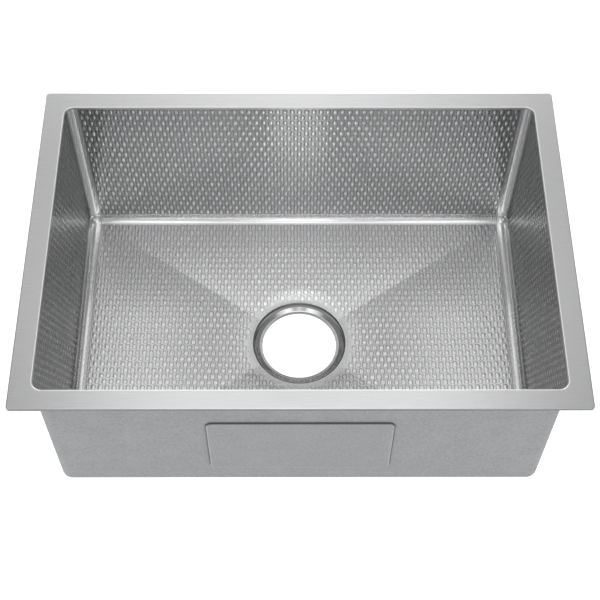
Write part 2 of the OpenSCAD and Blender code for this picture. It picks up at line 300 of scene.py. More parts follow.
class Shell:
    """Points and faces of one piece, gathered patch by patch and welded where the patches meet."""

    def __init__(self):
        self.points = []
        self.relief = []
        self.feet = []
        self.faces = []
        self.count = 0

    def add(self, points, faces, relief=None, feet=None):
        points = np.asarray(points, float).reshape(-1, 3)
        plain = np.zeros(len(points))
        self.points.append(points)
        self.relief.append(plain if relief is None else np.asarray(relief, float).ravel())
        self.feet.append(plain.copy() if feet is None else feet.ravel())
        self.faces += [[i + self.count for i in f] for f in faces]
        self.count += len(points)

    def grid(self, points, marks=0):
        """A patch of four-sided faces through an array of points, with one mark for each row."""
        points = np.asarray(points, float)
        rows, columns = points.shape[:2]
        index = np.arange(rows * columns).reshape(rows, columns)
        faces = np.stack([index[:-1, :-1], index[1:, :-1], index[1:, 1:], index[:-1, 1:]], -1)
        marks = np.broadcast_to(np.reshape(marks, (-1, 1)), (rows, columns))
        self.add(points, faces.reshape(-1, 4).tolist(), marks)

    def rings(self, loops, marks=0):
        """A tube of four-sided faces through closed loops of equal length."""
        loops = np.asarray(loops, float)
        self.grid(np.concatenate([loops, loops[:, :1]], 1), marks)

    def polygon(self, points):
        self.add(points, [list(range(len(points)))])

    def build(self, name, material, nodes):
        """Makes the piece, and hides the nodes that it stands for."""
        points = np.concatenate(self.points)
        keys = point_keys(points)
        _, first, where = np.unique(keys, axis=0, return_index=True, return_inverse=True)
        where = where.ravel().tolist()
        faces = []
        for f in self.faces:
            loop = [where[i] for i in f]
            loop = [v for i, v in enumerate(loop) if v != loop[i - 1]]
            if len(loop) > 2:
                faces.append(loop)
        mesh = bpy.data.meshes.new(name)
        mesh.from_pydata(points[first].tolist(), [], faces)
        work = bmesh.new()
        work.from_mesh(mesh)
        bmesh.ops.recalc_face_normals(work, faces=work.faces[:])
        work.to_mesh(mesh)
        work.free()
        relief = np.concatenate(self.relief)[first]
        feet = np.concatenate(self.feet)[first]
        for label, values in (("relief", relief), ("foot", feet)):
            attribute = mesh.attributes.new(label, "FLOAT", "POINT")
            attribute.data.foreach_set("value", values.astype(np.float32))
        mesh.polygons.foreach_set("use_smooth", [True] * len(mesh.polygons))
        mesh.set_sharp_from_angle(angle=SHARP_ANGLE)
        if feet.any():
            sharpen(mesh, feet > SHARP_FOOT)
        mesh.materials.append(material)
        piece = bpy.data.objects.new(name, mesh)
        bpy.context.scene.collection.objects.link(piece)
        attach(piece, "root")
        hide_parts(*nodes)
        return piece


def sharpen(mesh, chosen):
    """Adds the edges between the chosen points to a mesh's sharp ones."""
    ends = np.empty(2 * len(mesh.edges), np.int32)
    mesh.edges.foreach_get("vertices", ends)
    edges = mesh.attributes.get("sharp_edge") or mesh.attributes.new("sharp_edge", "BOOLEAN", "EDGE")
    sharp = np.empty(len(mesh.edges), bool)
    edges.data.foreach_get("value", sharp)
    edges.data.foreach_set("value", sharp | chosen[ends.reshape(-1, 2)].all(1))


def patch(x, y, z):
    """An array of points, from coordinates that vary along its rows, its columns, or not at all."""
    return np.stack(np.broadcast_arrays(x, y, z), -1)


# Cells of the pressed pattern

# Outline of a cell in shares of its pitch and row, anticlockwise from the middle of its right side
CELL_SHARES = np.array([
    (0.5, 0), (0.5, 0.5), (0.25, 0.5), (0, 0.5), (-0.25, 0.5), (-0.5, 0.5),
    (-0.5, 0), (-0.5, -0.5), (-0.25, -0.5), (0, -0.5), (0.25, -0.5), (0.5, -0.5),
])
HALF_CELL_SHARES = np.array([
    (0.25, 0), (0.25, 0.5), (0, 0.5), (-0.25, 0.5),
    (-0.25, 0), (-0.25, -0.5), (0, -0.5), (0.25, -0.5),
])


def cell_faces(sides):
    """Faces of one cell: a fan at the oval's top, a band round it, and the flat ground outside it."""
    ring = [[1 + k * sides + i for i in range(sides)] for k in range(len(RING_SHARES))]
    fan = [[0, ring[0][i], ring[0][(i + 1) % sides]] for i in range(sides)]
    bands = [
        [a[i], b[i], b[(i + 1) % sides], a[(i + 1) % sides]]
        for a, b in zip(ring, ring[1:])
        for i in range(sides)
    ]
    return fan + bands


def lattice(width, height, row):
    """Centres of the whole and half cells that fill a rectangle, the pitch and row that fit it, and the
    nodes along its edges."""
    columns = round(width / COLUMN_PITCH)
    rows = round(height / row)
    pitch, row = width / columns, height / rows
    whole, half = [], []
    for j in range(rows):
        v = (j + 0.5) * row
        odd = j % 2
        whole += [((i + 0.5 + 0.5 * odd) * pitch, v) for i in range(columns - odd)]
        half += [(pitch / 4, v), (width - pitch / 4, v)] * odd
    edges = np.linspace(0, width, 4 * columns + 1), np.linspace(0, height, 2 * rows + 1)
    return np.array(whole), np.array(half), pitch, row, edges


def add_ovals(shell, centres, cell, half_w, relief, place):
    """Adds cells of one kind, by a function that places (along, up, out) in space."""
    sides, count = len(cell), len(centres)
    angle = np.arange(sides) * 2 * math.pi / sides
    half_h = OVAL_LENGTH_SHARE * np.ptp(cell[:, 1])
    oval = np.stack([half_w * np.cos(angle), half_h * np.sin(angle)], -1)
    height = relief * (1 + RELIEF_SPREAD_SHARE * rng.uniform(-1, 1, (count, 1)))
    middle = centres[:, None, :]
    top = middle + OVAL_SHIFT * rng.uniform(-1, 1, (count, 1, 2))
    outline = top + (1 + OVAL_SIZE_SPREAD_SHARE * rng.uniform(-1, 1, (count, 1, 1))) * oval
    limit = CELL_FILL_SHARE * np.abs(cell).max(0)
    outline = np.clip(outline, middle - limit, middle + limit)
    parts, heights = [top], [height]
    for share, rise in RING_SHARES[1:]:
        parts.append(top + share * (outline - top))
        heights.append(np.repeat(rise * height, sides, 1))
    parts.append(middle + cell)
    heights.append(np.zeros((count, sides)))
    flat, out = np.concatenate(parts, 1), np.concatenate(heights, 1)
    # The points of a cell end with the oval's foot and then the cell's own outline
    # The foot marks give the sharp outline and the painted shade line round the foot
    feet = np.zeros(out.shape)
    feet[:, -2 * sides:-sides] = 1
    size = out.shape[1]
    template = cell_faces(sides)
    faces = [[i + k * size for i in f] for k in range(count) for f in template]
    shell.add(place(flat[..., 0], flat[..., 1], out), faces, out / relief, feet)


def add_cells(shell, whole, half, pitch, row, half_w, relief, place):
    """Adds the whole cells, and the half cells at both ends of every other row."""
    size = np.array([pitch, row])
    add_ovals(shell, whole, CELL_SHARES * size, half_w, relief, place)
    add_ovals(shell, half, HALF_CELL_SHARES * size, HALF_OVAL_HALF_W, relief, place)


# Sheet pieces

def bend_angles():
    return np.linspace(0, math.pi / 2, ARC_STEPS + 1)


def wall_outline(along, up):
    """Points round a wall's flat rectangle, anticlockwise, through every node of its edges."""
    return (
        [(a, up[0]) for a in along]
        + [(along[-1], b) for b in up[1:]]
        + [(a, up[-1]) for a in along[-2::-1]]
        + [(along[0], b) for b in up[-2:0:-1]]
    )


def sheet_edge(inner, along, up):
    """An edge's two lines, on the inner and the outer face of a wall that inner() places."""
    along, up = np.broadcast_arrays(along, up)
    return [inner(along, up, np.full(along.shape, out)) for out in (0, -SHEET_T)]


def wrap_wall(name, mirror, material):
    """The back or front wall of the wrapped sheet, with the bend at its foot."""
    shell = Shell()
    whole, half, pitch, row, (along, up) = lattice(2 * WRAP_X, SHEET_TOP_Z - BEND_Z, WALL_ROW)
    flip = np.array(mirror)

    def inner(a, b, out):
        return np.stack([a - WRAP_X, WALL_Y - out, BEND_Z + b], -1) * flip

    def bend(radius):
        t = bend_angles()
        x = (along - WRAP_X)[:, None]
        return patch(x, RUN_Y + radius * np.sin(t), BEND_Z - radius * np.cos(t)) * flip

    add_cells(shell, whole, half, pitch, row, WALL_OVAL_HALF_W, WALL_RELIEF, inner)
    inside, outside = bend(BEND_R), bend(BEND_R + SHEET_T)
    # Painted highlight on the bend's inner face
    shell.grid(inside, BEND_HIGHLIGHT_MARK)
    shell.grid(outside)
    outline = wall_outline(along, up)
    shell.polygon(np.array([(a - WRAP_X, WALL_Y + SHEET_T, BEND_Z + b) for a, b in outline]) * flip)
    for pair in (
        sheet_edge(inner, along, up[-1]),
        (inside[:, 0], outside[:, 0]),
        (inside[0], outside[0]),
        (inside[-1], outside[-1]),
        sheet_edge(inner, 0, up),
        sheet_edge(inner, 2 * WRAP_X, up),
    ):
        shell.grid(pair)
    return shell.build(name, material, ["bowl_wrap"])


def circle(radius, sides):
    angle = np.arange(sides) * 2 * math.pi / sides
    return radius * np.stack([np.cos(angle), np.sin(angle)], -1)


def outside_circle(points, radius, sides):
    """Which flat points lie outside a circle that is drawn as a polygon."""
    return np.hypot(points[:, 0], points[:, 1]) > radius * math.cos(math.pi / sides)


def doubled_area(points, face):
    a, b, c = (points[i] for i in face)
    return abs((b[0] - a[0]) * (c[1] - a[1]) - (b[1] - a[1]) * (c[0] - a[0]))


def triangulated(points, edges, keep):
    """Triangles over flat points, in the regions between the edges where keep says so of a middle."""
    result = delaunay_2d_cdt([Vector(p) for p in points], edges, [], 0, TRIANGULATION_GAP)
    index = [ids[0] for ids in result[3]]
    faces = [[index[i] for i in f] for f in result[2]]
    walls = {frozenset(e) for e in edges}
    sides = {}
    for number, face in enumerate(faces):
        for k in range(3):
            sides.setdefault(frozenset((face[k], face[k - 1])), []).append(number)
    kept = np.flatnonzero(keep(points[np.array(faces)].mean(1))).tolist()
    reached = {i for i in kept if doubled_area(points, faces[i]) > THIN_FACE}
    waiting = list(reached)
    while waiting:
        face = faces[waiting.pop()]
        for k in range(3):
            side = frozenset((face[k], face[k - 1]))
            if side not in walls:
                new = [i for i in sides[side] if i not in reached]
                reached.update(new)
                waiting += new
    faces = [faces[i] for i in sorted(reached)]
    # A face whose corners lie in one line gives its long edge to its neighbour
    for number, face in enumerate(faces):
        if doubled_area(points, face) < THIN_FACE:
            gaps = [points[face[k]] - points[face[k - 1]] for k in range(3)]
            middle = max((np.linalg.norm(gap), face[k - 2]) for k, gap in enumerate(gaps))[1]
            ends = [i for i in face if i != middle]
            other = next(i for i, f in enumerate(faces) if i != number and set(ends) <= set(f))
            far = next(i for i in faces[other] if i not in ends)
            faces[number], faces[other] = [ends[0], middle, far], [middle, ends[1], far]
    return np.array(faces)


def within(points, centre, half, radius):
    """Which flat points lie in a rectangle with round corners."""
    past = np.abs(points - centre) - (np.asarray(half) - radius)
    return np.hypot(*np.maximum(past, 0).T) + np.minimum(past.max(1), 0) < radius


def loop_edges(start, count):
    return [(start + i, start + (i + 1) % count) for i in range(count)]


def crease_edges(corners, ring_start, sides):
    """Edges along the creases, from four corners to a ring of points round the drain. The corners
    go anticlockwise from the front left."""
    crease = math.atan2(RUN_Y, WRAP_X)
    turns = (math.pi + crease, -crease, crease, math.pi - crease)
    steps = [round(turn / (2 * math.pi) * sides) % sides for turn in turns]
    return [(corner, ring_start + step) for corner, step in zip(corners, steps)]


def on_floor(points, drop=0):
    """Places flat points on the floor's upper face, or a distance below it."""
    return np.column_stack([points, floor_level(points[:, 0], points[:, 1]) - drop])


def cell_rim(outlines):
    """The corners and edges round a patch of cells: those edges that only one of the cells has."""
    seen, points = {}, {}
    for cell, keys in zip(outlines, point_keys(outlines)):
        keys = [tuple(k) for k in keys.tolist()]
        for i, k in enumerate(keys):
            points[k] = cell[i]
            pair = frozenset((k, keys[(i + 1) % len(keys)]))
            seen[pair] = seen.get(pair, 0) + 1
    rim = [tuple(pair) for pair, times in seen.items() if times == 1]
    names = sorted({k for pair in rim for k in pair})
    order = {k: i for i, k in enumerate(names)}
    return [points[k] for k in names], [(order[a], order[b]) for a, b in rim]


def add_seat_border(shell, outlines, centres, size):
    """The plain border round the drain seat, in place of the cells that reach it."""
    corners, edges = cell_rim(outlines)
    rings = [circle(SEAT_R + share * SEAT_MARGIN, SEAT_SIDES) for share in BORDER_RING_SHARES]
    cloud = np.concatenate([corners, *rings])
    edges += loop_edges(len(corners), SEAT_SIDES)

    def in_border(middles):
        offset = np.abs(middles[:, None, :] - centres[None, :, :])
        inside = (offset < size / 2).all(-1).any(1)
        return inside & outside_circle(middles, SEAT_R, SEAT_SIDES)

    shell.add(on_floor(cloud), triangulated(cloud, edges, in_border).tolist())


def add_underside(shell, outline, corners):
    """The floor's creased underside, and the edges of the sheet round it and round the drain."""
    hole = circle(SEAT_R, SEAT_SIDES)
    rings = [circle(SEAT_R + share * SEAT_BLEND, SEAT_SIDES) for share in BLEND_RING_SHARES]
    cloud = np.concatenate([outline, hole, *rings])
    edges = loop_edges(0, len(outline)) + loop_edges(len(outline), SEAT_SIDES)
    edges += crease_edges(corners, len(cloud) - SEAT_SIDES, SEAT_SIDES)
    faces = triangulated(cloud, edges, lambda m: outside_circle(m, SEAT_R, SEAT_SIDES))
    shell.add(on_floor(cloud, SHEET_T), faces.tolist())
    for path in (outline, hole):
        path = np.concatenate([path, path[:1]])
        shell.grid([on_floor(path), on_floor(path, SHEET_T)])


def floor_piece(material):
    """The creased floor between the bends, with a plain border round the drain seat."""
    shell = Shell()
    whole, half, pitch, row, (along, up) = lattice(2 * WRAP_X, 2 * RUN_Y, FLOOR_ROW)
    start = np.array([-WRAP_X, -RUN_Y])
    size = np.array([pitch, row])

    def place(a, b, out):
        x, y = a + start[0], b + start[1]
        return np.stack([x, y, floor_level(x, y) + out], -1)

    outlines = whole[:, None, :] + CELL_SHARES * size + start
    dropped = np.hypot(outlines[..., 0], outlines[..., 1]).min(1) < SEAT_R + SEAT_MARGIN
    add_cells(shell, whole[~dropped], half, pitch, row, FLOOR_OVAL_HALF_W, FLOOR_RELIEF, place)
    # The painted shade round the ovals' feet fades in away from the drain seat
    for spots, marks in zip(shell.points, shell.feet):
        marks *= smooth_step((np.hypot(spots[:, 0], spots[:, 1]) - SEAT_R) / SEAT_FADE)
    add_seat_border(shell, outlines[dropped], whole[dropped] + start, size)
    right, back = len(along) - 1, len(up) - 1
    corners = (0, right, right + back, 2 * right + back)
    add_underside(shell, np.array(wall_outline(along, up)) + start, corners)
    return shell.build("embossed_floor", material, ["bowl_wrap"])


def end_panel(name, node, mirror, material):
    """A pressed end panel: its wall, the bends on three sides and the two ball corners."""
    shell = Shell()
    whole, half, pitch, row, (along, up) = lattice(2 * RUN_Y, SHEET_TOP_Z - BEND_Z, WALL_ROW)
    flip = np.array(mirror)
    angles = bend_angles()
    corner_highlight = BEND_HIGHLIGHT_MARK * smooth_step((angles - CORNER_HIGHLIGHT_START) / CORNER_HIGHLIGHT_FADE)
    y_along, z_up = along - RUN_Y, up + BEND_Z
    x_short = np.array([RUN_X, PANEL_X])[:, None]

    def inner(a, b, out):
        return np.stack([WALL_X - out, a - RUN_Y, BEND_Z + b], -1) * flip

    def patches(radius):
        """The plain patches that both faces of the sheet have."""
        turn = angles[:, None]
        reach, drop = radius * np.sin(angles), BEND_Z - radius * np.cos(angles)
        yield "bend", patch(RUN_X + reach, y_along[:, None], drop)
        for side in (1, -1):
            corner_y = side * (RUN_Y + radius * np.sin(turn))
            yield "corner", patch(RUN_X + radius * np.cos(turn), corner_y, z_up)
            ball_y = side * (RUN_Y + reach * np.sin(turn))
            yield "ball", patch(RUN_X + reach * np.cos(turn), ball_y, drop)
            yield "flat", patch(x_short, side * (RUN_Y + radius), z_up)
            yield "foot", patch(x_short, side * (RUN_Y + reach), drop)
        yield "floor", patch(x_short, y_along, BEND_Z - radius)

    add_cells(shell, whole, half, pitch, row, WALL_OVAL_HALF_W, WALL_RELIEF, inner)
    # The inner faces of the bends and upright corners carry a painted highlight
    for (kind, near), (_, far) in zip(patches(BEND_R), patches(BEND_R + SHEET_T)):
        near, far = near * flip, far * flip
        shell.grid(near, corner_highlight if kind == "corner" else BEND_HIGHLIGHT_MARK)
        shell.grid(far)
        if kind in ("corner", "flat"):
            shell.grid([near[:, -1], far[:, -1]])
        if kind in ("flat", "foot", "floor"):
            shell.grid([near[-1], far[-1]])
    shell.grid(sheet_edge(inner, along, up[-1]))
    outline = wall_outline(along, up)
    shell.polygon(np.array([(WALL_X + SHEET_T, a - RUN_Y, BEND_Z + b) for a, b in outline]) * flip)
    return shell.build(name, material, [node])


# Flange, drain seat and coat

def arc(centre, radius, start, end, steps):
    """Points on an arc of a profile, with angles in degrees."""
    t = np.radians(np.linspace(start, end, steps + 1))
    return np.stack([centre[0] + radius * np.cos(t), centre[1] + radius * np.sin(t)], -1)


def rounded_loop(half_x, half_y, radius, steps=CORNER_STEPS):
    """Points round a rectangle with round corners, anticlockwise."""
    corners = []
    for i, (sx, sy) in enumerate(((1, 1), (-1, 1), (-1, -1), (1, -1))):
        centre = (sx * (half_x - radius), sy * (half_y - radius))
        corners.append(arc(centre, radius, 90 * i, 90 * i + 90, steps))
    return np.concatenate(corners)


def at_height(loop, z):
    return np.column_stack([loop, np.full(len(loop), z)])


def flange_piece(material):
    """The plate flange, with the round upper edges of the plate and its opening."""
    shell = Shell()
    e = FLANGE_EDGE_R
    rings, marks = [], []

    def inner(out, z, mark=0):
        rings.append(at_height(rounded_loop(WALL_X + out, WALL_Y + out, BEND_R + out), z))
        marks.append(mark)

    def outer(out, z, mark=0):
        loop = rounded_loop(flange_high.x + out, flange_high.y + out, FLANGE_CORNER_R + out)
        rings.append(at_height(loop, z))
        marks.append(mark)

    inner(0, -FLANGE_T)
    # The marks paint a highlight round the opening's edge, and down the outer edge a highlight that
    # turns into a dark reflection on the plate's side
    inner(0, -EDGE_FADE_SIDE * e, OPENING_FOOT_MARK)
    for out, z in arc((e, -e), e, 180, 90, EDGE_STEPS):
        inner(out, z, OPENING_EDGE_MARK)
    inner(EDGE_FADE_TOP * e, 0)
    outer(-EDGE_FADE_TOP * e, 0)
    for (out, z), mark in zip(arc((-e, -e), e, 90, 0, EDGE_STEPS), OUTER_EDGE_MARKS):
        outer(out, z, mark)
    outer(0, -EDGE_FADE_SIDE * e, PLATE_SIDE_REFLECTION_MARK)
    outer(0, -FLANGE_T, PLATE_SIDE_REFLECTION_MARK)
    inner(0, -FLANGE_T)
    shell.rings(rings, marks)
    return shell.build("satin_flange", material, ["flange_frame"])


def seat_profile():
    """The pressed drain seat's line, over its upper and back along its lower face, as radius and
    height, with the mark of each point."""
    wall, cone = SEAT_WALL_TILT, SEAT_CONE_TILT
    shoulder = np.array((SEAT_R - SEAT_EDGE, RIM_Z - SEAT_SHOULDER_R))
    tip = shoulder + SEAT_SHOULDER_R * np.array((-math.cos(wall), math.sin(wall)))
    fillet_z = RIM_Z - SEAT_WALL_DROP + SEAT_FILLET_R * math.cos(cone)
    foot_z = fillet_z - SEAT_FILLET_R * math.sin(wall)
    foot_r = tip[0] - (tip[1] - foot_z) * math.tan(wall)
    fillet = np.array((foot_r - SEAT_FILLET_R * math.cos(wall), fillet_z))
    land_r = OUTLET_R + SEAT_LAND
    cone_r = fillet[0] + SEAT_FILLET_R * math.sin(cone)
    land_z = RIM_Z - SEAT_WALL_DROP - (cone_r - land_r) * math.tan(cone)
    wall_d, cone_d = math.degrees(wall), math.degrees(cone)
    lip = (OUTLET_R + SEAT_LIP_R, land_z - SEAT_LIP_R)
    land = [
        (land_r + SEAT_CONE_END, land_z + SEAT_CONE_END * math.tan(cone)),
        (land_r + SEAT_TURN_OUT, land_z + SEAT_TURN_RISE),
        (land_r - SEAT_TURN_IN, land_z),
    ]
    shoulder_marks = [0] + [SEAT_WALL_MARK] * SHOULDER_STEPS
    upper = [
        ([(SEAT_R, RIM_Z)], [0]),
        (arc(shoulder, SEAT_SHOULDER_R, 90, 180 - wall_d, SHOULDER_STEPS), shoulder_marks),
        (arc(fillet, SEAT_FILLET_R, -wall_d, cone_d - 90, FILLET_STEPS), SEAT_FILLET_MARKS),
        (land, SEAT_LAND_MARKS),
        (arc(lip, SEAT_LIP_R, 90, 180, LIP_STEPS), [SEAT_LIP_MARK] * (LIP_STEPS + 1)),
    ]
    lower = np.concatenate([
        [(OUTLET_R, land_z - SEAT_T), (land_r + SEAT_T * math.tan(cone / 2), land_z - SEAT_T)],
        arc(fillet, SEAT_FILLET_R + SEAT_T, cone_d - 90, -wall_d, FILLET_STEPS),
        arc(shoulder, SEAT_SHOULDER_R - SEAT_T, 180 - wall_d, 90, SHOULDER_BACK_STEPS),
        [(SEAT_R, RIM_Z - SEAT_T), (SEAT_R, RIM_Z)],
    ])
    lines, marks = zip(*upper, (lower, [0] * len(lower)))
    return np.concatenate(lines), np.concatenate(marks)


def seat_piece(material):
    """The pressed and polished drain seat."""
    shell = Shell()
    line, marks = seat_profile()
    shell.rings([at_height(circle(r, SEAT_SIDES), z) for r, z in line], marks)
    return shell.build("polished_drain_seat", material, ["drain_seat"])


def add_pad(shell, loops, place):
    """The coat's soft edge and flat over a pad, from its loops and their shares of its thickness."""
    # The marks paint shade at the pad's foot and a highlight near the top of its edge
    shell.rings([place(loop, rise * PAD_T) for loop, rise in loops], PAD_EDGE_MARKS)
    shell.polygon(place(loops[-1][0], PAD_T))


def flat_face(shell, half_w, low, high, place, pad):
    """A flat rectangle with a plain border, and a pad's outline raised in it."""
    corners = np.array([(-half_w, low), (half_w, low), (half_w, high), (-half_w, high)])
    inset = corners + FACE_BORDER * np.array([(1, 1), (-1, 1), (-1, -1), (1, -1)])
    shell.rings([place(ring, 0) for ring in (corners, inset)])
    loops = [(pad(out), rise) for out, rise in PAD_EDGE]
    foot = loops[0][0]
    cloud = np.concatenate([inset, foot])
    edges = loop_edges(0, len(inset)) + loop_edges(len(inset), len(foot))
    centre, half = foot.mean(0), 0.5 * np.ptp(foot, 0)
    faces = triangulated(cloud, edges, lambda m: ~within(m, centre, half, PAD_CORNER_R))
    shell.add(place(cloud, 0), faces.tolist())
    add_pad(shell, loops, place)


def pad_outline(half_w, half_h, centre, offset):
    """A function that gives a pad's outline on the coat's face, a step outwards from its edge."""
    def outline(out):
        grow = offset + out
        loop = rounded_loop(half_w + grow, half_h + grow, PAD_CORNER_R + grow)
        return loop + np.array(centre)
    return outline


def coat_face(shell, offset):
    """One face of the sprayed coat, at a distance from the sheet's outer face."""
    radius = BEND_R + SHEET_T + offset
    angles = bend_angles()
    turn = angles[:, None]
    reach, drop = radius * np.sin(angles), BEND_Z - radius * np.cos(angles)
    # Painted shade round the lower bends, strongest halfway round
    shade = BEND_SHADE_MARK * np.sin(2 * angles)
    heights = np.array([BEND_Z, COAT_TOP_Z])
    middle = (0, WALL_PAD_Z)
    for side in (1, -1):
        def long_wall(points, rise, side=side):
            y = np.full(len(points), side * (RUN_Y + radius + rise))
            return np.column_stack([points[:, 0], y, points[:, 1]])

        def end_wall(points, rise, side=side):
            x = np.full(len(points), side * (RUN_X + radius + rise))
            return np.column_stack([x, points[:, 0], points[:, 1]])

        for run, place, pad_half_w in (
            (RUN_X, long_wall, LONG_PAD_HALF_W),
            (RUN_Y, end_wall, END_PAD_HALF_W),
        ):
            pad = pad_outline(pad_half_w, WALL_PAD_HALF_H, middle, offset)
            flat_face(shell, run, BEND_Z, COAT_TOP_Z, place, pad)
        for bend in (
            patch(np.array([-RUN_X, RUN_X])[:, None], side * (RUN_Y + reach), drop),
            patch(side * (RUN_X + reach), np.array([-RUN_Y, RUN_Y])[:, None], drop),
        ):
            shell.grid(bend.swapaxes(0, 1), shade)
        for other in (1, -1):
            x = side * (RUN_X + radius * np.cos(turn))
            y = other * (RUN_Y + radius * np.sin(turn))
            shell.grid(patch(x, y, heights))
            x = side * (RUN_X + reach * np.cos(turn))
            y = other * (RUN_Y + reach * np.sin(turn))
            shell.grid(patch(x, y, drop).swapaxes(0, 1), shade)
    coat_floor(shell, offset)


def under_floor(points, offset, rise=0):
    """Places flat points on a face of the coat under the floor."""
    level = floor_level(points[:, 0], points[:, 1])
    return np.column_stack([points, level - SHEET_T - offset - rise])


def coat_floor(shell, offset):
    """The coat's creased underside, with the pads' outlines and the opening round the drain."""
    def place(points, rise):
        return under_floor(points, offset, rise)

    corners = np.array([(-1, -1), (1, -1), (1, 1), (-1, 1)])
    outer = corners * (RUN_X, RUN_Y)
    crease_ends = corners * (WRAP_X, RUN_Y - FACE_BORDER)
    sides, blend_r = COAT_HOLE_SIDES, SEAT_R + SEAT_BLEND
    rings = [circle(r, sides) for r in (COAT_HOLE_R, 0.5 * (COAT_HOLE_R + blend_r), blend_r)]
    pads = []
    for side in (1, -1):
        centre = (side * FLOOR_PAD_X, 0)
        outline = pad_outline(FLOOR_PAD_HALF_W, FLOOR_PAD_HALF_D, centre, offset)
        pads.append([(outline(out), rise) for out, rise in PAD_EDGE])
    feet = [loops[0][0] for loops in pads]
    cloud = np.concatenate([outer, crease_ends, *rings, *feet])
    start = len(outer) + len(crease_ends)
    front_left, front_right, back_right, back_left = ends = range(len(outer), start)
    edges = loop_edges(0, len(outer)) + [(front_left, back_left), (front_right, back_right)]
    for _ in rings:
        edges += loop_edges(start, sides)
        start += sides
    edges += crease_edges(ends, start - sides, sides)
    for foot in feet:
        edges += loop_edges(start, len(foot))
        start += len(foot)

    def outside(middles):
        clear = outside_circle(middles, COAT_HOLE_R, sides)
        for foot in feet:
            clear &= ~within(middles, foot.mean(0), 0.5 * np.ptp(foot, 0), PAD_CORNER_R)
        return clear

    shell.add(place(cloud, 0), triangulated(cloud, edges, outside).tolist())
    for loops in pads:
        add_pad(shell, loops, place)


def coat_piece(material):
    """The sprayed coat over the sheet and the pads."""
    shell = Shell()
    for offset in (0, COAT_T):
        coat_face(shell, offset)
    rims = []
    for offset in (0, COAT_T):
        radius = BEND_R + SHEET_T + offset
        rim = rounded_loop(RUN_X + radius, RUN_Y + radius, radius, ARC_STEPS)
        rims.append(at_height(rim, COAT_TOP_Z))
    shell.rings(rims)
    hole = circle(COAT_HOLE_R, COAT_HOLE_SIDES)
    shell.rings([under_floor(hole, offset) for offset in (0, COAT_T)])
    return shell.build("sprayed_coat", material, ["undercoat"])


# Materials

class Surface:
    """A procedural material, built up node by node."""

    def __init__(self, name, metallic):
        self.material = bpy.data.materials.new(name)
        self.material.use_nodes = True
        self.tree = self.material.node_tree
        self.shader = self.tree.nodes["Principled BSDF"]
        self.shader.inputs["Metallic"].default_value = metallic

    def node(self, kind, **inputs):
        node = self.tree.nodes.new(kind)
        for key, value in inputs.items():
            self.set(node.inputs[key.replace("_", " ")], value)
        return node

    def set(self, socket, value):
        if isinstance(value, bpy.types.NodeSocket):
            self.tree.links.new(value, socket)
        else:
            socket.default_value = value

    def maths(self, operation, *values):
        node = self.tree.nodes.new("ShaderNodeMath")
        node.operation = operation
        for socket, value in zip(node.inputs, values):
            self.set(socket, value)
        return node.outputs[0]

    def blended(self, values, shares):
        """The sum of two values, each by its share."""
        return self.maths("ADD", *(self.maths("MULTIPLY", *part) for part in zip(values, shares)))

    def place(self):
        return self.node("ShaderNodeTexCoord").outputs["Object"]

    def noise(self, scale, detail, stretch=None, vector=None):
        """Noise between 0 and 1, with a scale in waves a metre."""
        vector = vector or self.place()
        if stretch:
            mapping = self.node("ShaderNodeMapping", Vector=vector)
            mapping.inputs["Scale"].default_value = stretch
            vector = mapping.outputs[0]
        node = self.node("ShaderNodeTexNoise", Vector=vector, Scale=scale, Detail=detail)
        return node.outputs["Fac"]

    def spread(self, value, low, high):
        """Brings a value between 0 and 1 to lie between low and high."""
        return self.node("ShaderNodeMapRange", Value=value, To_Min=low, To_Max=high).outputs[0]

    def attribute(self, name):
        node = self.node("ShaderNodeAttribute")
        node.attribute_name = name
        return node.outputs["Fac"]

    def mixed(self, factor, low, high):
        node = self.tree.nodes.new("ShaderNodeMix")
        node.data_type = "RGBA"
        self.set(node.inputs[0], factor)
        for socket, value in ((node.inputs[6], low), (node.inputs[7], high)):
            self.set(socket, (*value, 1) if isinstance(value, tuple) else value)
        return node.outputs[2]

    def colour(self, factor, low, high):
        self.set(self.shader.inputs["Base Color"], self.mixed(factor, low, high))

    def rough(self, value):
        self.set(self.shader.inputs["Roughness"], value)

    def brushed(self, along, stretch):
        """Stretches reflections across a grain that runs along the given direction."""
        node = self.tree.nodes.new("ShaderNodeVectorMath")
        node.operation = "CROSS_PRODUCT"
        self.set(node.inputs[0], self.node("ShaderNodeNewGeometry").outputs["Normal"])
        node.inputs[1].default_value = along
        self.set(self.shader.inputs["Tangent"], node.outputs[0])
        self.shader.inputs["Anisotropic"].default_value = stretch

    def bump(self, height, distance, over=None):
        """Shades the surface as if raised, on top of an earlier bump where one is given."""
        node = self.node("ShaderNodeBump", Height=height, Strength=1.0, Distance=distance)
        if over is not None:
            self.set(node.inputs["Normal"], over)
        self.set(self.shader.inputs["Normal"], node.outputs[0])
        return node.outputs[0]


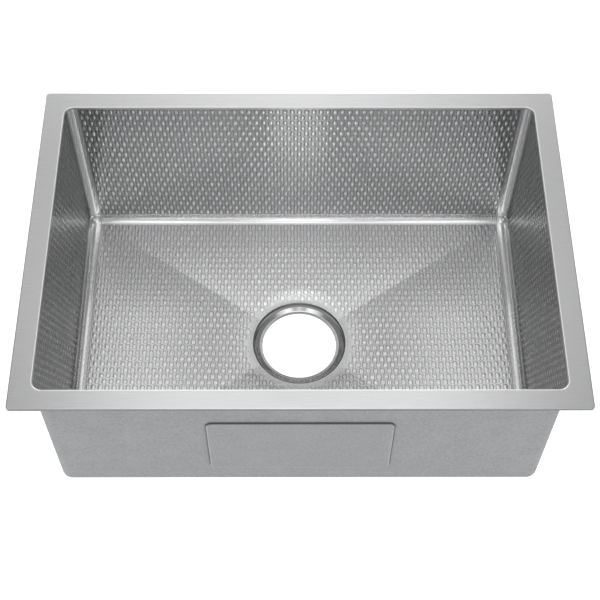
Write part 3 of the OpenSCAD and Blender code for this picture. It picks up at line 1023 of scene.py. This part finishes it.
def embossed_steel(name, along, tones, flecks=0, creases=0):
    """Satin sheet, in tones for the ground, the ovals' tops lightened as a painted highlight and the
    painted shade line round the ovals' feet, with a painted highlight on the bends.
    """
    s = Surface(name, 1.0)
    s.brushed(along, SHEET_STRETCH)
    relief = s.attribute("relief")
    tops = s.maths("MINIMUM", relief, 1.0)
    bends = s.maths("MAXIMUM", s.maths("SUBTRACT", relief, 1.0), 0.0)
    feet = s.maths("POWER", s.attribute("foot"), FOOT_SHADE_SHARPNESS)
    grain = s.noise(*SHEET_GRAIN)
    cloud = s.noise(*SHEET_CLOUD)
    shade = s.blended((tops, grain), (TOPS_HIGHLIGHT_SHARE - flecks, GRAIN_SHARE))
    if flecks:
        fleck = s.spread(s.noise(*END_FLECKS), *FLECKS_SPAN)
        shade = s.maths("ADD", shade, s.maths("MULTIPLY", fleck, flecks))
    # Painted highlight on the ovals' tops, and painted shade line round their feet
    base = s.mixed(feet, s.mixed(shade, tones[0], tones[1]), tones[2])
    # Painted highlight on the bends
    s.colour(bends, base, HIGHLIGHT_STEEL)
    smoother = s.maths("MULTIPLY", tops, TOPS_SMOOTHER_BY)
    rough = s.maths("SUBTRACT", s.spread(grain, *SHEET_ROUGH), smoother)
    s.rough(s.maths("ADD", rough, s.spread(cloud, -CLOUD_ROUGH, CLOUD_ROUGH)))
    fine = s.bump(grain, SHEET_GRAIN_DEPTH)
    if creases:
        x, y, _ = s.node("ShaderNodeSeparateXYZ", Vector=s.place()).outputs
        side = s.maths("DIVIDE", s.maths("ABSOLUTE", x), WRAP_X)
        end = s.maths("DIVIDE", s.maths("ABSOLUTE", y), RUN_Y)
        s.bump(s.maths("MAXIMUM", side, end), creases, fine)
    return s.material


def satin_steel():
    """Plate rubbed to a fine satin, with a faint long grain, painted highlights along the edges and a
    painted dark reflection on the sides.
    """
    s = Surface("satin_steel", 1.0)
    s.brushed(LONG_GRAIN, FLANGE_STRETCH)
    fine = s.noise(*SATIN_GRAIN)
    mixed = s.blended((fine, s.noise(*SATIN_LINES, SATIN_LINES_STRETCH)), SATIN_MIX)
    base = s.mixed(s.spread(mixed, *SATIN_SPAN), *SATIN_TONES)
    mark = s.attribute("relief")
    # Painted dark reflection where the mark is below 0, painted highlight where it is above
    dark = s.mixed(s.maths("MULTIPLY", mark, -1.0), base, PLATE_SIDE_REFLECTION)
    s.colour(s.maths("MULTIPLY", mark, 1 / OPENING_EDGE_MARK), dark, HIGHLIGHT_STEEL)
    s.rough(s.spread(mixed, *SATIN_ROUGH))
    s.bump(fine, SATIN_GRAIN_DEPTH)
    return s.material


def polished_steel():
    """Drain seat, turned: fine rings round the outlet, and a painted dark reflection where the mesh
    marks the wall, fillet, land and lip.
    """
    s = Surface("polished_steel", 1.0)
    x, y, z = s.node("ShaderNodeSeparateXYZ", Vector=s.place()).outputs
    squares = s.maths("ADD", s.maths("MULTIPLY", x, x), s.maths("MULTIPLY", y, y))
    radius = s.maths("SQRT", squares)
    line = s.node("ShaderNodeCombineXYZ", X=radius, Y=z).outputs[0]
    rings = s.noise(*SEAT_RINGS, vector=line)
    # Painted dark reflection where the mesh marks it
    s.colour(s.attribute("relief"), s.mixed(rings, *POLISHED_TONES), SEAT_PAINTED_REFLECTION)
    s.rough(s.spread(rings, *POLISHED_ROUGH))
    s.bump(rings, SEAT_RINGS_DEPTH)
    return s.material


def weld_steel():
    """Welds: dressed, a little darker and rougher than the sheet."""
    s = Surface("weld_steel", 1.0)
    grain = s.noise(*WELD_GRAIN)
    s.colour(grain, *WELD_TONES)
    s.rough(s.spread(grain, *WELD_ROUGH))
    s.bump(grain, WELD_GRAIN_DEPTH)
    return s.material


def sprayed_coat():
    """Matte grey coat with the fine grain of a spray gun, with painted shade and painted highlights
    where the mesh marks say so.
    """
    s = Surface("undercoat", 0.0)
    mixed = s.blended((s.noise(*COAT_SPRAY), s.noise(*COAT_CLOUD)), COAT_MIX)
    base = s.mixed(s.spread(mixed, *COAT_SPAN), *COAT_TONES)
    mark = s.attribute("relief")
    # Painted highlight where the mark is below 0, painted shade where it is above
    light = s.mixed(s.maths("MULTIPLY", mark, -1.0), base, COAT_PAINTED_HIGHLIGHT)
    s.colour(mark, light, COAT_PAINTED_SHADE)
    s.rough(COAT_ROUGH)
    s.bump(s.noise(*COAT_GRAIN), COAT_GRAIN_DEPTH)
    return s.material


def pad_rubber():
    """Black rubber of the sound pads, under the coat."""
    s = Surface("pad_rubber", 0.0)
    grain = s.noise(*RUBBER_GRAIN)
    s.colour(grain, *RUBBER_TONES)
    s.rough(RUBBER_ROUGH)
    s.bump(grain, RUBBER_GRAIN_DEPTH)
    return s.material


def pale_floor():
    """The stage's plain floor, as white as the photograph's ground."""
    s = Surface("pale_floor", 0.0)
    s.colour(s.noise(*GROUND_CLOUD), *GROUND_TONES)
    s.rough(GROUND_ROUGH)
    s.shader.inputs["Emission Color"].default_value = (1, 1, 1, 1)
    s.shader.inputs["Emission Strength"].default_value = GROUND_GLOW
    return s.material


# Camera, stage and light

def add_camera():
    """The camera at the photograph's viewing angle."""
    yaw, pitch, roll = CAMERA_YAW, CAMERA_PITCH, CAMERA_ROLL
    camera = bpy.data.objects.new("camera", bpy.data.cameras.new("camera"))
    camera.data.sensor_width = CAMERA_SENSOR_MM
    camera.data.lens = CAMERA_LENS_MM
    camera.data.clip_end = CAMERA_CLIP_END
    flat = math.cos(pitch)
    forward = Vector((math.sin(yaw) * flat, math.cos(yaw) * flat, -math.sin(pitch)))
    level = Vector((math.cos(yaw), -math.sin(yaw), 0))
    upward = level.cross(forward)
    right = math.cos(roll) * level + math.sin(roll) * upward
    up = math.cos(roll) * upward - math.sin(roll) * level
    turn = Matrix((right, up, -forward)).transposed()
    camera.matrix_world = Matrix.Translation(CAMERA_AT) @ turn.to_4x4()
    bpy.context.scene.collection.objects.link(camera)
    bpy.context.scene.camera = camera


def add_ground():
    """The stage's floor, just under the drain seat that the sink stands on."""
    level = seat_low.z - GROUND_GAP
    bpy.ops.mesh.primitive_plane_add(size=GROUND_SIZE, location=(0, 0, level))
    ground = bpy.context.object
    ground.name = "floor"
    ground.data.materials.append(pale_floor())


def add_world():
    """An even white light from everywhere."""
    world = bpy.data.worlds.new("studio")
    bpy.context.scene.world = world
    world.use_nodes = True
    background = world.node_tree.nodes["Background"]
    background.inputs["Color"].default_value = (1, 1, 1, 1)
    background.inputs["Strength"].default_value = WORLD_STRENGTH


def add_light(over, side, over_span, side_span, brightness):
    """A soft panel of the tent, facing the sink from the given direction."""
    t, s = math.radians(over), math.radians(side)
    cos_s, sin_s = math.cos(s), math.sin(s)
    outward = Vector((sin_s, cos_s * math.cos(t), cos_s * math.sin(t)))
    along = Vector((cos_s, -sin_s * math.cos(t), -sin_s * math.sin(t)))
    light = bpy.data.lights.new(f"panel_{over:g}_{side:g}", "AREA")
    light.shape = "RECTANGLE"
    light.size = 2 * LIGHT_REACH * math.tan(math.radians(side_span / 2))
    light.size_y = 2 * LIGHT_REACH * math.tan(math.radians(over_span / 2)) * cos_s
    light.energy = brightness * math.pi * light.size * light.size_y
    lamp = bpy.data.objects.new(light.name, light)
    turn = Matrix((along, outward.cross(along), outward)).transposed()
    place = Vector(LIGHT_TARGET) + LIGHT_REACH * outward
    lamp.matrix_world = Matrix.Translation(place) @ turn.to_4x4()
    bpy.context.scene.collection.objects.link(lamp)


add_camera()
floor_sheet = embossed_steel("embossed_steel", LONG_GRAIN, FLOOR_STEEL, creases=CREASE_SHADE)
finishes = {
    "embossed_steel": floor_sheet,
    "satin_steel": satin_steel(),
    "polished_steel": polished_steel(),
    "weld_steel": weld_steel(),
    "undercoat": sprayed_coat(),
    "pad_rubber": pad_rubber(),
}
for part in frame["record"]["subparts"]:
    carried = frame["nodes"][part["node"]]
    carried.data.materials.clear()
    carried.data.materials.append(finishes[part["material_slot"]])

wall_sheet = embossed_steel("embossed_wall_steel", LONG_GRAIN, WALL_STEEL)
end_sheet = embossed_steel("embossed_end_steel", END_GRAIN, END_STEEL, flecks=END_FLECKS_SHARE)
wrap_wall("embossed_back_wall", (1, 1, 1), wall_sheet)
wrap_wall("embossed_front_wall", (1, -1, 1), wall_sheet)
floor_piece(floor_sheet)
end_panel("right_embossed_panel", "right_end_panel", (1, 1, 1), end_sheet)
end_panel("left_embossed_panel", "left_end_panel", (-1, 1, 1), end_sheet)
flange_piece(finishes["satin_steel"])
seat_piece(finishes["polished_steel"])
coat_piece(finishes["undercoat"])

add_ground()
add_world()
for over, side, over_span, side_span, brightness in LIGHTS:
    for sign in (1, -1) if side else (1,):
        add_light(over, sign * side, over_span, side_span, brightness)
bpy.context.scene.view_settings.view_transform = "Standard"
